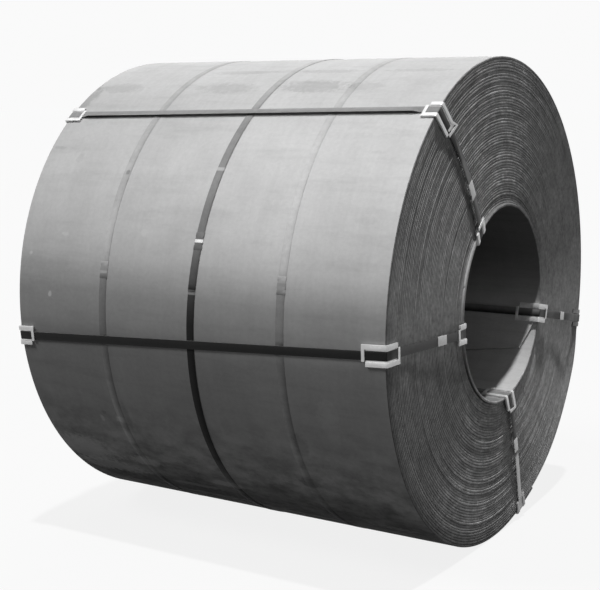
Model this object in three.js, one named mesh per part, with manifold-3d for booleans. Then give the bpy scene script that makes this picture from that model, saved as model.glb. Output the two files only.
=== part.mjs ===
// A hot-rolled steel coil lying on its side, as it leaves the mill: one wound strip, three body straps
// round it and four straps through its bore, each of them held off the rims by slotted corner protectors.
//
// Millimetres, +Z up, the coil's axis along X. Angles are in degrees, counted in the YZ plane from +Y
// towards +Z, so 90 is the top of the coil and 270 is the line that it rests on.
import * as THREE from 'three';
import { mergeVertices } from 'three/addons/utils/BufferGeometryUtils.js';
import Module from 'manifold-3d';

const wasm = await Module();
wasm.setup();

// ---- Driving sizes ---------------------------------------------------------------------------------------

// The strip and the coil that it is wound into.
const STRIP_WIDTH = 1625;
const STRIP_GAUGE = 10.5;
const OUTER_DIAMETER = 1900;
const BORE_DIAMETER = 762;
const FACETS = 64;
const TURN_BANDS = 15;
const WINDING_STAGGER = 2.5;
const STAGGER_STEP = 137.5;
const INNER_TURNS = 2;
const INNER_TELESCOPE = 24;

// The strip's two ends: each leaves a step of one gauge, which runs out over an arc.
const HEAD_END_ANGLE = 320;
const HEAD_END_RUN_OUT = 25;
const TAIL_END_ANGLE = 296;
const TAIL_END_RUN_OUT = 44;
const RUN_OUT_STEPS = 6;
const RUN_OUT_FEATHER = 1;

// Steel strapping, and the play left wherever two pieces lie on each other.
const STRAP_WIDTH = 32;
const STRAP_THICKNESS = 1;
const SEAT_GAP = 0.3;

// Body straps: where each lies along the coil and how far it leans from there, in millimetres, and where
// its ends lap under a seal. All of them lean the same way, furthest to the front at the crest.
const LEFT_STRAP_PLACE = -378;
const LEFT_STRAP_LEAN = 24;
const MIDDLE_STRAP_PLACE = 43;
const MIDDLE_STRAP_LEAN = 45;
const RIGHT_STRAP_PLACE = 405;
const RIGHT_STRAP_LEAN = 10;
const LEAN_CREST = 60;
const BODY_STRAPS = [
  {
    name: 'left',
    place: LEFT_STRAP_PLACE,
    lean: LEFT_STRAP_LEAN,
    lapStart: 150,
    lapEnd: 178,
    seal: 170.5,
  },
  {
    name: 'middle',
    place: MIDDLE_STRAP_PLACE,
    lean: MIDDLE_STRAP_LEAN,
    lapStart: 145.5,
    lapEnd: 173.5,
    seal: 162.5,
  },
  {
    name: 'right',
    place: RIGHT_STRAP_PLACE,
    lean: RIGHT_STRAP_LEAN,
    lapStart: 158,
    lapEnd: 182,
    seal: 170.5,
  },
];
const LAP_RISE_START = 24;
const LAP_RISE_END = 6;

// Straps through the bore. Each is bent over four rims: outer front, inner front, inner back, outer back.
// For each rim in turn: its angle, and the share of its protector that lies on the round surface. Then how
// far up the front the seal sits between bore and rim, how far the strap bows sideways on the front, and on
// which side of it the protectors' tongues on the round surface grow.
const UPPER_STRAP_BOW = -45;
const BOTTOM_STRAP_BOW = 10;
const EYE_STRAPS = [
  {
    name: 'upper',
    angles: [127.8, 131.3, 130, 130.4],
    folds: [0.3, 0.72, 0.5, 0.39],
    sealShare: 0.324,
    bow: UPPER_STRAP_BOW,
    hand: 1,
  },
  {
    name: 'near',
    angles: [182.7, 188.6, 188.5, 188],
    folds: [0.51, 0.64, 0.5, 0.4],
    sealShare: 0.324,
    bow: 0,
    hand: -1,
  },
  {
    name: 'bottom',
    angles: [287.1, 279.2, 286, 286],
    folds: [0.65, 0.57, 0.5, 0.5],
    sealShare: 0.432,
    bow: BOTTOM_STRAP_BOW,
    hand: -1,
  },
  {
    name: 'far',
    angles: [348.2, 346.6, 344.2, 346],
    folds: [0.5, 0.56, 0.5, 0.5],
    sealShare: 0.49,
    bow: 0,
    hand: -1,
  },
];
const ROUND_LEG_STEPS = 8;
const END_LEG_STEPS = 8;

// Corner protectors: a sheet bent over the rim, with a raised rail along each side of the strap. At the end
// of each leg one rail turns across the strap as a tongue, and the other stops short, so that the strap can
// be slipped in from the side.
const PROTECTOR_WIDTH = 76;
const PROTECTOR_LENGTH = 178;
const PROTECTOR_SHEET = 2.5;
const PROTECTOR_RAIL_WIDTH = 17;
const PROTECTOR_TONGUE_WIDTH = 12;
const PROTECTOR_TONGUE_SHEET = 2.5;
const PROTECTOR_SLOT_PLAY = 3;
const BEND_STEPS = 3;

// Crimped seals: a sleeve round the strap, notched twice on each side.
const SEAL_LENGTH = 64;
const SEAL_SHEET = 1.2;
const SEAL_SIDE_PLAY = 0.8;
const SEAL_NOTCH_DEPTH = 3;
const SEAL_NOTCH_LENGTH = 9;
const SEAL_NOTCH_SPACING = 26;

// ---- Sizes that follow -----------------------------------------------------------------------------------

const OUTER_RADIUS = OUTER_DIAMETER / 2;
const BORE_RADIUS = BORE_DIAMETER / 2;
const INNER_BAND_RADIUS = BORE_RADIUS + INNER_TURNS * STRIP_GAUGE;
const TOP = 90;
const HALF_FACET = Math.PI / FACETS;
const LEAST_FACING = 0.5;
const SEAT_SAMPLES = 32;
const SHORTEST_STEP = 0.1;
const STRAP_LIFT = SEAT_GAP + PROTECTOR_SHEET + SEAT_GAP;
const TONGUE_LIFT = STRAP_LIFT + STRAP_THICKNESS + SEAT_GAP;
const RAIL_TOP = TONGUE_LIFT + PROTECTOR_TONGUE_SHEET;

const radians = THREE.MathUtils.degToRad;

// Turns what is drawn across X and Y and extruded along Z so that it runs along X.
const ALONG_X = new THREE.Matrix4().set(0, 0, 1, 0, 1, 0, 0, 0, 0, 1, 0, 0, 0, 0, 0, 1);

// ---- Materials -------------------------------------------------------------------------------------------

const finishes = {
  coil: { color: 0x6b6e72, roughness: 0.5, metalness: 0.6 },
  blackStrap: { color: 0x1d1e20, roughness: 0.45, metalness: 0.3 },
  greyStrap: { color: 0x5c5f63, roughness: 0.5, metalness: 0.5 },
  galvanised: { color: 0xd2d3d2, roughness: 0.4, metalness: 0.6 },
};

const model = new THREE.Group();

function addPiece(name, geometry, finish) {
  const mesh = new THREE.Mesh(geometry, new THREE.MeshStandardMaterial(finishes[finish]));
  mesh.name = name;
  model.add(mesh);
}

// ---- Joining and cutting ---------------------------------------------------------------------------------

function closedGeometry(geometry) {
  geometry.deleteAttribute('normal');
  geometry.deleteAttribute('uv');
  return mergeVertices(geometry, 1e-4);
}

function toSolid(geometry) {
  const closed = closedGeometry(geometry);
  return new wasm.Manifold(new wasm.Mesh({
    numProp: 3,
    vertProperties: new Float32Array(closed.attributes.position.array),
    triVerts: new Uint32Array(closed.index.array),
  }));
}

function toGeometry(solid) {
  const mesh = solid.getMesh();
  const geometry = new THREE.BufferGeometry();
  geometry.setAttribute('position', new THREE.BufferAttribute(mesh.vertProperties, 3));
  geometry.setIndex(new THREE.BufferAttribute(mesh.triVerts, 1));
  return geometry;
}

function reshape(geometry, moveVertex) {
  const positions = geometry.attributes.position;
  const vertex = new THREE.Vector3();
  for (let i = 0; i < positions.count; i += 1) {
    moveVertex(vertex.fromBufferAttribute(positions, i));
    positions.setXYZ(i, vertex.x, vertex.y, vertex.z);
  }
  return geometry;
}

// ---- The coil --------------------------------------------------------------------------------------------

// Bands of turns from the outside in. Each band is shifted along the axis as a whole, because every turn of
// a strip is as wide as the next, and the innermost turns have crept out of the front.
function windTurns() {
  const bands = [];
  const bandDepth = (OUTER_RADIUS - INNER_BAND_RADIUS) / TURN_BANDS;
  for (let i = 0; i < TURN_BANDS; i += 1) {
    bands.push({
      outer: OUTER_RADIUS - i * bandDepth,
      inner: OUTER_RADIUS - (i + 1) * bandDepth,
      shift: WINDING_STAGGER * Math.cos(radians(STAGGER_STEP * i)),
    });
  }
  bands.push({ outer: INNER_BAND_RADIUS, inner: BORE_RADIUS, shift: INNER_TELESCOPE });
  return bands;
}

// How far the coil's end stands out where a protector's leg lies on it.
function endReach(bands, side, low, high) {
  const touched = bands.filter((band) => band.outer > low && band.inner < high);
  return side * (STRIP_WIDTH / 2 + Math.max(...touched.map((band) => side * band.shift)));
}

// What an end of the strip leaves empty beside it: one gauge deep at the end, and run out to nothing.
function stripEndCutter(angle, runOut, radius, inwards) {
  const deep = [];
  const clear = [];
  const clearRadius = inwards ? radius + STRIP_GAUGE : radius - STRIP_GAUGE;
  for (let i = 0; i <= RUN_OUT_STEPS; i += 1) {
    const share = i / RUN_OUT_STEPS;
    const direction = radians(angle + (inwards ? 1 : -1) * runOut * share);
    const depth = STRIP_GAUGE * (1 - share) - RUN_OUT_FEATHER * share;
    const cutRadius = inwards ? radius - depth : radius + depth;
    deep.push(new THREE.Vector2(cutRadius * Math.cos(direction), cutRadius * Math.sin(direction)));
    clear.push(new THREE.Vector2(clearRadius * Math.cos(direction), clearRadius * Math.sin(direction)));
  }
  const length = 2 * STRIP_WIDTH;
  const prism = new THREE.ExtrudeGeometry(new THREE.Shape([...deep, ...clear.reverse()]), {
    depth: length,
    bevelEnabled: false,
  });
  return prism.translate(0, 0, -length / 2).applyMatrix4(ALONG_X);
}

function turnCoil(bands) {
  const front = bands.flatMap((band) => [
    new THREE.Vector2(band.outer, STRIP_WIDTH / 2 + band.shift),
    new THREE.Vector2(band.inner, STRIP_WIDTH / 2 + band.shift),
  ]);
  const back = bands.flatMap((band) => [
    new THREE.Vector2(band.outer, -STRIP_WIDTH / 2 + band.shift),
    new THREE.Vector2(band.inner, -STRIP_WIDTH / 2 + band.shift),
  ]).reverse();
  const outline = [...back, ...front, back[0]];
  const turned = new THREE.LatheGeometry(outline, FACETS, HALF_FACET).rotateZ(-Math.PI / 2);
  const head = toSolid(stripEndCutter(HEAD_END_ANGLE, HEAD_END_RUN_OUT, BORE_RADIUS, false));
  const tail = toSolid(stripEndCutter(TAIL_END_ANGLE, TAIL_END_RUN_OUT, OUTER_RADIUS, true));
  return toGeometry(toSolid(turned).subtract(head).subtract(tail));
}

// ---- Seats on the faceted surfaces -----------------------------------------------------------------------

// Height of a faceted round above its axis, seen along one direction and measured off to one side of it.
function surfaceHeight(radius, angle, side) {
  const apothem = radius * Math.cos(HALF_FACET);
  const heights = [];
  for (let facet = 0; facet < FACETS; facet += 1) {
    const lean = 2 * HALF_FACET * facet + radians(TOP - angle);
    const facing = Math.cos(lean);
    if (facing > LEAST_FACING) heights.push((apothem - side * Math.sin(lean)) / facing);
  }
  return Math.min(...heights);
}

function heightsUnder(radius, angle, width) {
  const heights = [];
  for (let i = 0; i <= SEAT_SAMPLES; i += 1) {
    heights.push(surfaceHeight(radius, angle, width * (i / SEAT_SAMPLES - 0.5)));
  }
  return heights;
}

// Where a flat piece comes to lie: on the highest point under it outside, on the nearest one in the bore.
const outsideSeat = (angle, width) => Math.max(...heightsUnder(OUTER_RADIUS, angle, width));
const boreSeat = (angle, width) => Math.min(...heightsUnder(BORE_RADIUS, angle, width));

// ---- Body straps -----------------------------------------------------------------------------------------

function facetedRadius(radius, degrees) {
  const facet = 2 * HALF_FACET;
  const turn = radians(degrees - TOP);
  return (radius * Math.cos(HALF_FACET)) / Math.cos(turn - facet * Math.round(turn / facet));
}

function strapPlaceAt(strap, degrees) {
  return strap.place + strap.lean * Math.cos(radians(degrees - LEAN_CREST));
}

// Angles from one end of a strap to the other: both ends, and each facet's edge between them.
function stationsBetween(start, end) {
  const facet = 360 / FACETS;
  const spare = facet * SHORTEST_STEP;
  const stations = [start];
  const firstEdge = TOP + facet * (Math.ceil((start - TOP) / facet - 0.5) + 0.5);
  for (let edge = firstEdge; edge < end - spare; edge += facet) {
    if (edge > start + spare) stations.push(edge);
  }
  stations.push(end);
  return stations;
}

// A band that runs once round the coil and on over its own start, up to the free end.
function bodyStrapGeometry(strap) {
  const lap = strap.lapEnd - strap.lapStart;
  const pointAt = (degrees, lift) => {
    const radius = facetedRadius(OUTER_RADIUS + lift / Math.cos(HALF_FACET), degrees);
    return new THREE.Vector2(radius * Math.cos(radians(degrees)), radius * Math.sin(radians(degrees)));
  };
  const liftAt = (degrees) => {
    const climbed = (degrees - (strap.lapStart + 360 - LAP_RISE_START)) / (LAP_RISE_START - LAP_RISE_END);
    return SEAT_GAP + THREE.MathUtils.clamp(climbed, 0, 1) * (STRAP_THICKNESS + SEAT_GAP);
  };
  const stations = stationsBetween(strap.lapStart, strap.lapStart + 360 + lap);
  const under = stations.map((degrees) => pointAt(degrees, liftAt(degrees)));
  const over = stations.map((degrees) => pointAt(degrees, liftAt(degrees) + STRAP_THICKNESS));
  const band = new THREE.ExtrudeGeometry(new THREE.Shape([...over, ...under.reverse()]), {
    depth: STRAP_WIDTH,
    bevelEnabled: false,
  });
  return reshape(band, (vertex) => {
    const degrees = THREE.MathUtils.radToDeg(Math.atan2(vertex.y, vertex.x));
    const along = strapPlaceAt(strap, degrees) + vertex.z - STRAP_WIDTH / 2;
    vertex.set(along, vertex.x, vertex.y);
  });
}

// ---- Seals -----------------------------------------------------------------------------------------------

// A sleeve along X with the strap's width along Y. Its lower face is at the given foot, and `layers` straps
// fit inside it; an open seal has no floor, and its sides stand on the coil.
function sealGeometry(foot, layers, open) {
  const halfInside = STRAP_WIDTH / 2 + SEAL_SIDE_PLAY;
  const halfOutside = halfInside + SEAL_SHEET;
  const floor = open ? 0 : SEAL_SHEET;
  const inside = layers * (STRAP_THICKNESS + SEAT_GAP) + SEAT_GAP;
  const top = foot + floor + inside + SEAL_SHEET;
  const outline = new THREE.Shape();
  outline.moveTo(-halfOutside, foot);
  if (open) {
    outline.lineTo(-halfInside, foot);
    outline.lineTo(-halfInside, top - SEAL_SHEET);
    outline.lineTo(halfInside, top - SEAL_SHEET);
    outline.lineTo(halfInside, foot);
  }
  outline.lineTo(halfOutside, foot);
  outline.lineTo(halfOutside, top - SEAL_SHEET / 2);
  outline.lineTo(halfInside, top);
  outline.lineTo(-halfInside, top);
  outline.lineTo(-halfOutside, top - SEAL_SHEET / 2);
  if (!open) {
    outline.holes.push(new THREE.Path([
      new THREE.Vector2(-halfInside, foot + floor),
      new THREE.Vector2(-halfInside, foot + floor + inside),
      new THREE.Vector2(halfInside, foot + floor + inside),
      new THREE.Vector2(halfInside, foot + floor),
    ]));
  }
  const sleeve = new THREE.ExtrudeGeometry(outline, { depth: SEAL_LENGTH, bevelEnabled: false });
  sleeve.translate(0, 0, -SEAL_LENGTH / 2);
  let solid = toSolid(sleeve);
  for (const side of [-1, 1]) {
    for (const end of [-1, 1]) {
      const notch = new THREE.CylinderGeometry(SEAL_NOTCH_DEPTH, SEAL_NOTCH_DEPTH, 4 * top, 4);
      notch.scale(1, 1, SEAL_NOTCH_LENGTH / (2 * SEAL_NOTCH_DEPTH));
      notch.translate(side * halfOutside, 0, (end * SEAL_NOTCH_SPACING) / 2);
      solid = solid.subtract(toSolid(notch));
    }
  }
  return toGeometry(solid).applyMatrix4(ALONG_X);
}

// ---- Straps through the bore -----------------------------------------------------------------------------

// The four rims that a strap is bent over: the outward sides of the coil's end and of its round surface
// there, and the rim at the other end of the same round surface.
const RIMS = [
  { name: 'outer_front', end: 1, round: 1, partner: 3 },
  { name: 'inner_front', end: 1, round: -1, partner: 2 },
  { name: 'inner_back', end: -1, round: -1, partner: 1 },
  { name: 'outer_back', end: -1, round: 1, partner: 0 },
];

// Each rim's corner in the plane of the axis and the radius, where a protector comes to lie on it.
function strapCorners(strap, bands) {
  return RIMS.map(({ name, end, round, partner }, i) => {
    const roundLeg = PROTECTOR_LENGTH * strap.folds[i];
    const endLeg = PROTECTOR_LENGTH - roundLeg;
    const seat = round > 0 ? outsideSeat : boreSeat;
    const angle = strap.angles[i];
    const legEndAngle = THREE.MathUtils.lerp(angle, strap.angles[partner], roundLeg / STRIP_WIDTH);
    const seats = [angle, legEndAngle].map((degrees) => round * seat(degrees, PROTECTOR_WIDTH));
    const reach = round > 0 ? [OUTER_RADIUS - endLeg, OUTER_RADIUS] : [BORE_RADIUS, BORE_RADIUS + endLeg];
    const x = endReach(bands, end, ...reach);
    return { name, end, round, roundLeg, endLeg, x, height: round * Math.max(...seats) };
  });
}

// Points of a line bent over a rim at one distance from it, from the leg on the round surface to the leg on
// the end. It runs on past both ends of the protector by the length given.
function bentLine(rim, lift, past) {
  const points = [new THREE.Vector2(rim.x - rim.end * (rim.roundLeg + past), rim.height + rim.round * lift)];
  for (let i = 0; i <= BEND_STEPS; i += 1) {
    const bend = (Math.PI / 2) * (i / BEND_STEPS);
    points.push(new THREE.Vector2(
      rim.x + rim.end * lift * Math.sin(bend),
      rim.height + rim.round * lift * Math.cos(bend),
    ));
  }
  points.push(new THREE.Vector2(rim.x + rim.end * lift, rim.height - rim.round * (rim.endLeg + past)));
  return points;
}

function sharpLine(rim, lift) {
  return [
    new THREE.Vector2(rim.x - rim.end * rim.roundLeg, rim.height + rim.round * lift),
    new THREE.Vector2(rim.x + rim.end * lift, rim.height + rim.round * lift),
    new THREE.Vector2(rim.x + rim.end * lift, rim.height - rim.round * rim.endLeg),
  ];
}

function dividedLine(from, to, steps) {
  const points = [];
  for (let i = 1; i < steps; i += 1) points.push(from.clone().lerp(to, i / steps));
  return points;
}

// One closed line round the coil's wall, at one distance from all four rims. It leaves each protector
// straight for the next one.
function strapLoop(rims, lift) {
  const bends = rims.map((rim, i) => {
    const bend = bentLine(rim, lift, PROTECTOR_SLOT_PLAY);
    return i % 2 ? bend.reverse() : bend;
  });
  const steps = [END_LEG_STEPS, ROUND_LEG_STEPS, END_LEG_STEPS, ROUND_LEG_STEPS];
  return bends.flatMap((bend, i) => {
    const next = bends[(i + 1) % bends.length];
    return [...bend, ...dividedLine(bend[bend.length - 1], next[0], steps[i])];
  });
}

// Turns a piece drawn in the plane of the axis and the radius to its place round the coil. From rim to rim
// its angle drifts so that it runs straight, and on the front it bows sideways, most of all halfway.
function layRoundCoil(geometry, strap) {
  const [outerFront, innerFront, innerBack, outerBack] = strap.angles;
  return reshape(geometry, (vertex) => {
    const along = THREE.MathUtils.clamp(vertex.x / STRIP_WIDTH + 0.5, 0, 1);
    const radius = THREE.MathUtils.clamp(vertex.y, BORE_RADIUS, OUTER_RADIUS);
    const out = (radius - BORE_RADIUS) / (OUTER_RADIUS - BORE_RADIUS);
    const straight = (1 / BORE_RADIUS - 1 / radius) / (1 / BORE_RADIUS - 1 / OUTER_RADIUS);
    const inner = THREE.MathUtils.lerp(innerBack, innerFront, along);
    const outer = THREE.MathUtils.lerp(outerBack, outerFront, along);
    const angle = radians(THREE.MathUtils.lerp(inner, outer, straight));
    const halfway = 4 * out * (1 - out);
    const side = vertex.z + strap.bow * along * halfway;
    const height = vertex.y;
    vertex.y = height * Math.cos(angle) - side * Math.sin(angle);
    vertex.z = height * Math.sin(angle) + side * Math.cos(angle);
  });
}

function extrudeAcross(shape, width, middle) {
  const band = new THREE.ExtrudeGeometry(shape, { depth: width, bevelEnabled: false });
  return band.translate(0, 0, middle - width / 2);
}

// A ring of rectangular section, with each of its stations moved to a pair of points on the strap's faces.
function eyeStrapGeometry(strap, rims) {
  const under = strapLoop(rims, STRAP_LIFT);
  const over = strapLoop(rims, STRAP_LIFT + STRAP_THICKNESS);
  const half = STRAP_WIDTH / 2;
  const section = [[under, half], [over, half], [over, -half], [under, -half], [under, half]];
  const profile = section.map(([line, side]) => {
    const radius = line === over ? OUTER_RADIUS : BORE_RADIUS;
    return new THREE.Vector2(radius, side);
  });
  const ring = new THREE.LatheGeometry(profile, under.length);
  const positions = ring.attributes.position;
  for (let i = 0; i < positions.count; i += 1) {
    const [line, side] = section[i % section.length];
    const point = line[Math.floor(i / section.length) % line.length];
    positions.setXYZ(i, point.x, point.y, side);
  }
  return layRoundCoil(closedGeometry(ring), strap);
}

// The strap's two ends are crimped together on the front of the coil, between the two protectors there.
function eyeStrapSealGeometry(strap, rims) {
  const [outerFront, innerFront] = rims;
  const from = bentLine(outerFront, STRAP_LIFT, PROTECTOR_SLOT_PLAY).pop();
  const to = bentLine(innerFront, STRAP_LIFT, PROTECTOR_SLOT_PLAY).pop();
  const sealRadius = THREE.MathUtils.lerp(BORE_RADIUS, OUTER_RADIUS, strap.sealShare);
  const place = from.clone().lerp(to, (from.y - sealRadius) / (from.y - to.y));
  const along = to.clone().sub(from).normalize();
  const turn = new THREE.Matrix4().makeBasis(
    new THREE.Vector3(along.x, along.y, 0),
    new THREE.Vector3(0, 0, -1),
    new THREE.Vector3(-along.y, along.x, 0),
  );
  turn.setPosition(place.x, place.y, 0);
  return layRoundCoil(sealGeometry(-SEAL_SHEET - SEAT_GAP, 1, false).applyMatrix4(turn), strap);
}

function bodyStrapSealGeometry(strap) {
  const angle = radians(strap.seal);
  const seat = outsideSeat(strap.seal, SEAL_LENGTH);
  return reshape(sealGeometry(seat + SEAT_GAP, 2, true), (vertex) => {
    const across = vertex.y;
    const y = vertex.z * Math.cos(angle) - vertex.x * Math.sin(angle);
    const z = vertex.z * Math.sin(angle) + vertex.x * Math.cos(angle);
    vertex.set(strapPlaceAt(strap, THREE.MathUtils.radToDeg(Math.atan2(z, y))) + across, y, z);
  });
}

// ---- Corner protectors -----------------------------------------------------------------------------------

function bentSheet(rim, top, width, middle) {
  const over = bentLine(rim, top, 0);
  const under = sharpLine(rim, SEAT_GAP).reverse();
  return toSolid(extrudeAcross(new THREE.Shape([...over, ...under]), width, middle));
}

// A block at the end of one leg: its heights over the rim's surface, how far back from the leg's end it lies,
// and its reach across the leg, counted towards the tongue's side.
function legEndBlock(rim, onEnd, tongueSide, block) {
  const [low, high] = block.heights;
  const [from, to] = block.backs;
  const [away, towards] = block.reaches;
  const leg = (onEnd ? rim.endLeg : rim.roundLeg) - (from + to) / 2;
  const lift = (low + high) / 2;
  const across = (tongueSide * (away + towards)) / 2;
  const thickness = high - low;
  const length = to - from;
  const box = new THREE.BoxGeometry(onEnd ? thickness : length, onEnd ? length : thickness, towards - away);
  if (onEnd) box.translate(rim.x + rim.end * lift, rim.height - rim.round * leg, across);
  else box.translate(rim.x - rim.end * leg, rim.height + rim.round * lift, across);
  return toSolid(box);
}

function protectorGeometry(strap, rim) {
  const railMiddle = (PROTECTOR_WIDTH - PROTECTOR_RAIL_WIDTH) / 2;
  const channelHalf = PROTECTOR_WIDTH / 2 - PROTECTOR_RAIL_WIDTH;
  const slotLength = PROTECTOR_TONGUE_WIDTH + PROTECTOR_SLOT_PLAY;
  const slot = {
    heights: [0, 2 * RAIL_TOP],
    backs: [-slotLength, slotLength],
    reaches: [-PROTECTOR_WIDTH, channelHalf],
  };
  const tongue = {
    heights: [TONGUE_LIFT, RAIL_TOP],
    backs: [0, PROTECTOR_TONGUE_WIDTH],
    reaches: [-channelHalf, railMiddle],
  };
  let solid = bentSheet(rim, SEAT_GAP + PROTECTOR_SHEET, PROTECTOR_WIDTH, 0)
    .add(bentSheet(rim, RAIL_TOP, PROTECTOR_RAIL_WIDTH, railMiddle))
    .add(bentSheet(rim, RAIL_TOP, PROTECTOR_RAIL_WIDTH, -railMiddle));
  for (const onEnd of [true, false]) {
    const side = onEnd ? -strap.hand : strap.hand;
    solid = solid.subtract(legEndBlock(rim, onEnd, side, slot)).add(legEndBlock(rim, onEnd, side, tongue));
  }
  return layRoundCoil(toGeometry(solid), strap);
}

// ---- Assembly --------------------------------------------------------------------------------------------

const turnBands = windTurns();
addPiece('coil', turnCoil(turnBands), 'coil');

for (const strap of BODY_STRAPS) {
  const finish = strap.name === 'middle' ? 'blackStrap' : 'greyStrap';
  addPiece(`body_strap_${strap.name}`, bodyStrapGeometry(strap), finish);
  addPiece(`body_strap_${strap.name}_seal`, bodyStrapSealGeometry(strap), 'galvanised');
}

for (const strap of EYE_STRAPS) {
  const rims = strapCorners(strap, turnBands);
  addPiece(`eye_strap_${strap.name}`, eyeStrapGeometry(strap, rims), 'blackStrap');
  addPiece(`eye_strap_${strap.name}_seal`, eyeStrapSealGeometry(strap, rims), 'galvanised');
  for (const rim of rims) {
    addPiece(`protector_${strap.name}_${rim.name}`, protectorGeometry(strap, rim), 'galvanised');
  }
}

// The coil stands on the floor, with the middle of its outline over the origin.
const extent = new THREE.Box3().setFromObject(model);
const middle = extent.getCenter(new THREE.Vector3());
model.position.set(-middle.x, -middle.y, -extent.min.z);

export default model;
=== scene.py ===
"""A wide coil of hot-rolled steel strip on its side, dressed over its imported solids.

Metres, +Z up, the coil's axis along X. Angles are in degrees in the YZ plane, counted from +Y towards +Z,
so 90 is the top of the coil and 270 is the line that it rests on.
"""
import math
import random
from functools import cached_property, reduce

import bpy
import numpy as np
from bpy.props import FloatProperty, FloatVectorProperty, IntProperty, PointerProperty
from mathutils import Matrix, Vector


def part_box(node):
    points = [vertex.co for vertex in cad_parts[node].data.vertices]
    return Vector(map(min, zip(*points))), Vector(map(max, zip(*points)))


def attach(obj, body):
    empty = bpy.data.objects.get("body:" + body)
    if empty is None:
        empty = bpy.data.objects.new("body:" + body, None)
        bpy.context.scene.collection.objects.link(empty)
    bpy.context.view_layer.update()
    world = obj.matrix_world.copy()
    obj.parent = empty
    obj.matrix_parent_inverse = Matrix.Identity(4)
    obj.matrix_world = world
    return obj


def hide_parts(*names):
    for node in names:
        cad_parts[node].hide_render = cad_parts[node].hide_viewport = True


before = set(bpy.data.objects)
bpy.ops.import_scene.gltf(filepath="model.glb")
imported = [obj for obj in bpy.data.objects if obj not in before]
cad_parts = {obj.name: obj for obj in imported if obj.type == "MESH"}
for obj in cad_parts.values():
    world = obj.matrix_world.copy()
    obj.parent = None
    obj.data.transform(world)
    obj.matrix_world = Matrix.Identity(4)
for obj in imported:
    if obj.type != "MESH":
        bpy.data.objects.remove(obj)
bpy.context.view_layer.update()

COIL_LOW, COIL_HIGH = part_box("coil")

bl_info = {
    "name": "Steel coil",
    "version": (1, 0, 0),
    "blender": (4, 5, 0),
    "location": "View3D > Sidebar > Steel coil",
    "description": "Winds, straps and finishes a coil of hot-rolled strip",
    "category": "Object",
}


def grey(tone):
    """A grey as red, green, blue and alpha."""
    return (tone, tone, tone, 1.0)


# ---- Where the coil lies, from its solid ------------------------------------------------------------------

STRIP_WIDTH = 1.625
HALF_WIDTH = STRIP_WIDTH / 2
TELESCOPE = 0.024
OUTER_RADIUS = (COIL_HIGH.z - COIL_LOW.z) / 2
AXIS = Vector((
    COIL_HIGH.x - TELESCOPE - HALF_WIDTH,
    (COIL_LOW.y + COIL_HIGH.y) / 2,
    (COIL_LOW.z + COIL_HIGH.z) / 2,
))
ARC_OF_A_DEGREE = OUTER_RADIUS * math.pi / 180

# ---- The winding ------------------------------------------------------------------------------------------

# The strip's two ends, and where the turns climb over them: inside the coil and outside it.
TAIL_END = 296.0
CLIMB_END_INSIDE = 310.0
CLIMB_END_OUTSIDE = 340.0

# The sections are spun almost once round, so that their two ends stay apart until they are joined.
STEPS_ROUND = 192
ALMOST_ROUND = 2 * math.pi * 0.9999
SECTION_CORNERS = 8
JOIN_DISTANCE = 0.00002

# What lies less than this many turns from the start is cut off: a tenth of a step before the head end.
HEAD_END = (CLIMB_END_INSIDE - TAIL_END) / 360 - 0.1 / STEPS_ROUND

# A point belongs to the turn that it lies on, even where rounding puts it this share of a turn too low.
TURN_SLACK = 1e-4

# How far the strip has crept out of the front, by how many turns it lies from its head end: most at the
# bore, and then in a shallow cone that dies out towards the rim.
CREEP = (
    (0.08, 0.022), (0.15, TELESCOPE), (0.85, TELESCOPE), (0.95, 0.022), (1.05, 0.019),
    (1.40, 0.0150), (1.60, 0.0140), (2.0, 0.0130), (46.5, 0.0),
)
CREPT_OUT_WHOLE = 2.0

# The turns' edges stray from each other by a slow and a quick walk: knots for each turn, where on the knots
# it starts, and its share. The edge that stands out most lies this far out of its place.
EDGE_SEED = 7
SLOW_WALK = (0.6, 0.3, 0.65)
QUICK_WALK = (2.7, 0.0, 0.35)
STAGGER_OUT = 0.0022

# How much the turns' front edges stray from each other, by the angle: little on the far side.
CALM_EDGES = ((0, 0.35), (30, 0.4), (60, 1.0), (276, 1.0), (292, 0.35), (360, 0.35))

# The head end is a tongue. Each cut runs between two points: their place across the strip, and their angle.
# It takes only the strip up to this many degrees beyond its second point.
HEAD_CUTS = (
    ((0.557, 317.9), (0.772, 323.3)),
    ((0.780, 324.0), (0.815, 339.0)),
    ((-0.557, 317.9), (-0.772, 323.3)),
)
HEAD_CUT_REACH = 14

# The outermost wraps stand off between the straps at the bottom and on the far side, most at the front: angle
# and height. They close up again over the given number of turns.
LOOSE_WRAPS = (
    (285, 0.0), (290, 0.004), (298, 0.013), (304, 0.021), (310, 0.027), (316, 0.030), (336, 0.030),
    (341, 0.016), (344.5, 0.0),
)
LOOSE_TURNS = 10

# A face is on the coil's end where its normal points at least this far along the axis.
END_NORMAL = 0.5

# ---- Straps, seals and protectors -------------------------------------------------------------------------

# Where each body strap lies along the coil, how far it leans to the front at the crest and to the back
# opposite, and between which angles its two ends lap.
BODY_STRAPS = {
    "left": {"place": -0.378, "lean": 0.024, "lap": (150.0, 186.8), "slot": "grey_strap"},
    "middle": {"place": 0.043, "lean": 0.045, "lap": (145.5, 173.5), "slot": "black_strap"},
    "right": {"place": 0.405, "lean": 0.010, "lap": (158.0, 183.8), "slot": "grey_strap"},
}
BODY_STRAP_STEPS = 240

# The share of a body strap's thickness that its edges are rounded off by.
BODY_STRAP_ROUNDING = 0.35

# The crest of the lean, how many degrees before the first end comes round the strap starts and ends its climb
# over it, and the air between the two layers there, half of which lies under the whole strap.
LEAN_CREST = 60.0
LAP_RISE_START = 24.0
LAP_RISE_END = 6.0
SEAT_GAP = 0.0003

EYE_STRAPS = ("upper", "near", "bottom", "far")
RIMS = ("outer_front", "inner_front", "inner_back", "outer_back")
EYE_STRAP_ROUNDING = 0.0002
LONG_EDGE = 0.05

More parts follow.
